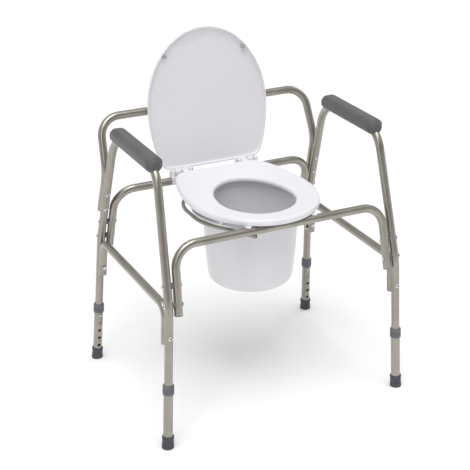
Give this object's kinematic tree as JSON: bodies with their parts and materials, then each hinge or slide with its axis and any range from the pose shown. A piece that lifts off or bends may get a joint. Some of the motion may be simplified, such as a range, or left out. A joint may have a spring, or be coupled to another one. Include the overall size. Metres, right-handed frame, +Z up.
{
  "type": "commode chair",
  "caption": "Height-adjustable commode chair: bent steel tube frame with arm pads, telescoping legs, hinged seat ring and lid over a pail hung between bowed rails.",
  "frame": {"origin": "floor level at the centre of the box around the chair", "axes": "+X towards the right of a viewer who faces the chair's front, -Y towards the front, +Z up"},
  "size_m": [0.734, 0.5571, 0.9552],
  "materials": {
    "frame_coat": "satin warm grey powder coat",
    "pad_skin": "moulded soft grey skin",
    "collar_plastic": "moulded dark grey nylon",
    "foot_rubber": "dark grey rubber",
    "zinc_plate": "bright zinc plate",
    "spring_steel": "bare spring steel",
    "seat_plastic": "white blow-moulded polypropylene",
    "pail_plastic": "white injection-moulded polypropylene"
  },
  "bodies": {
    "frame": {"side_frame_left": "frame_coat", "side_frame_right": "frame_coat", "front_seat_tube": "frame_coat", "rear_seat_tube": "frame_coat", "backrest_tube": "frame_coat", "brace_left": "frame_coat", "brace_right": "frame_coat", "pail_rail_left": "frame_coat", "pail_rail_right": "frame_coat", "armrest_pad_left": "pad_skin", "armrest_pad_right": "pad_skin", "button_spring_fl": "spring_steel", "button_spring_fr": "spring_steel", "button_spring_rl": "spring_steel", "button_spring_rr": "spring_steel", "hinge_bracket_left": "seat_plastic", "hinge_bracket_right": "seat_plastic", "hinge_pin_left": "zinc_plate", "hinge_pin_right": "zinc_plate", "bracket_screws": "zinc_plate", "front_tube_bolts": "zinc_plate", "rear_tube_bolts": "zinc_plate", "tube_spacers": "collar_plastic", "backrest_rivets": "zinc_plate", "brace_bolts": "zinc_plate", "rail_screws": "zinc_plate", "tube_end_plugs": "collar_plastic"},
    "ring": {"seat_ring": "seat_plastic", "seat_bumpers": "seat_plastic"},
    "lid": {"seat_lid": "seat_plastic", "lid_bumpers": "collar_plastic"},
    "pail": {"pail": "pail_plastic"},
    "leg_fl": {"leg_extension_fl": "frame_coat", "leg_collar_fl": "collar_plastic", "foot_tip_fl": "foot_rubber"},
    "button_fl": {"snap_button_fl": "zinc_plate"},
    "leg_fr": {"leg_extension_fr": "frame_coat", "leg_collar_fr": "collar_plastic", "foot_tip_fr": "foot_rubber"},
    "button_fr": {"snap_button_fr": "zinc_plate"},
    "leg_rl": {"leg_extension_rl": "frame_coat", "leg_collar_rl": "collar_plastic", "foot_tip_rl": "foot_rubber"},
    "button_rl": {"snap_button_rl": "zinc_plate"},
    "leg_rr": {"leg_extension_rr": "frame_coat", "leg_collar_rr": "collar_plastic", "foot_tip_rr": "foot_rubber"},
    "button_rr": {"snap_button_rr": "zinc_plate"}
  },
  "joints": [
    {"name": "lid_hinge", "type": "hinge", "parent": "frame", "child": "lid", "pos_m": [0, 0.1875, 0.571], "axis": [-1, 0, 0], "range_deg": [-98.7, 0]},
    {"name": "seat_ring_hinge", "type": "hinge", "parent": "frame", "child": "ring", "pos_m": [0, 0.1875, 0.571], "axis": [-1, 0, 0], "range_deg": [0, 96]},
    {"name": "pail_lift", "type": "slide", "parent": "frame", "child": "pail", "axis": [0, 0, 1], "range_m": [0, 0.018]},
    {"name": "leg_slide_fl", "type": "slide", "parent": "frame", "child": "leg_fl", "axis": [0.0449, 0.03, 0.9985], "range_m": [0, 0.1016], "deforming": ["snap_button_fl"]},
    {"name": "leg_slide_fr", "type": "slide", "parent": "frame", "child": "leg_fr", "axis": [-0.0449, 0.03, 0.9985], "range_m": [0, 0.1016], "deforming": ["snap_button_fr"]},
    {"name": "leg_slide_rl", "type": "slide", "parent": "frame", "child": "leg_rl", "axis": [0.0448, -0.0847, 0.9954], "range_m": [0, 0.1016], "deforming": ["snap_button_rl"]},
    {"name": "leg_slide_rr", "type": "slide", "parent": "frame", "child": "leg_rr", "axis": [-0.0448, -0.0847, 0.9954], "range_m": [0, 0.1016], "deforming": ["snap_button_rr"]},
    {"name": "button_press_fl", "type": "slide", "parent": "frame", "child": "button_fl", "axis": [0.0013, -0.9996, 0.03], "range_m": [0, 0.0048], "stiffness_N_per_m": 2500, "springref_m": -0.003, "deforming": ["button_spring_fl"]},
    {"name": "button_press_fr", "type": "slide", "parent": "frame", "child": "button_fr", "axis": [-0.0013, -0.9996, 0.03], "range_m": [0, 0.0048], "stiffness_N_per_m": 2500, "springref_m": -0.003, "deforming": ["button_spring_fr"]},
    {"name": "button_press_rl", "type": "slide", "parent": "frame", "child": "button_rl", "axis": [0.0038, 0.9964, 0.0846], "range_m": [0, 0.0048], "stiffness_N_per_m": 2500, "springref_m": -0.003, "deforming": ["button_spring_rl"]},
    {"name": "button_press_rr", "type": "slide", "parent": "frame", "child": "button_rr", "axis": [-0.0038, 0.9964, 0.0846], "range_m": [0, 0.0048], "stiffness_N_per_m": 2500, "springref_m": -0.003, "deforming": ["button_spring_rr"]}
  ]
}
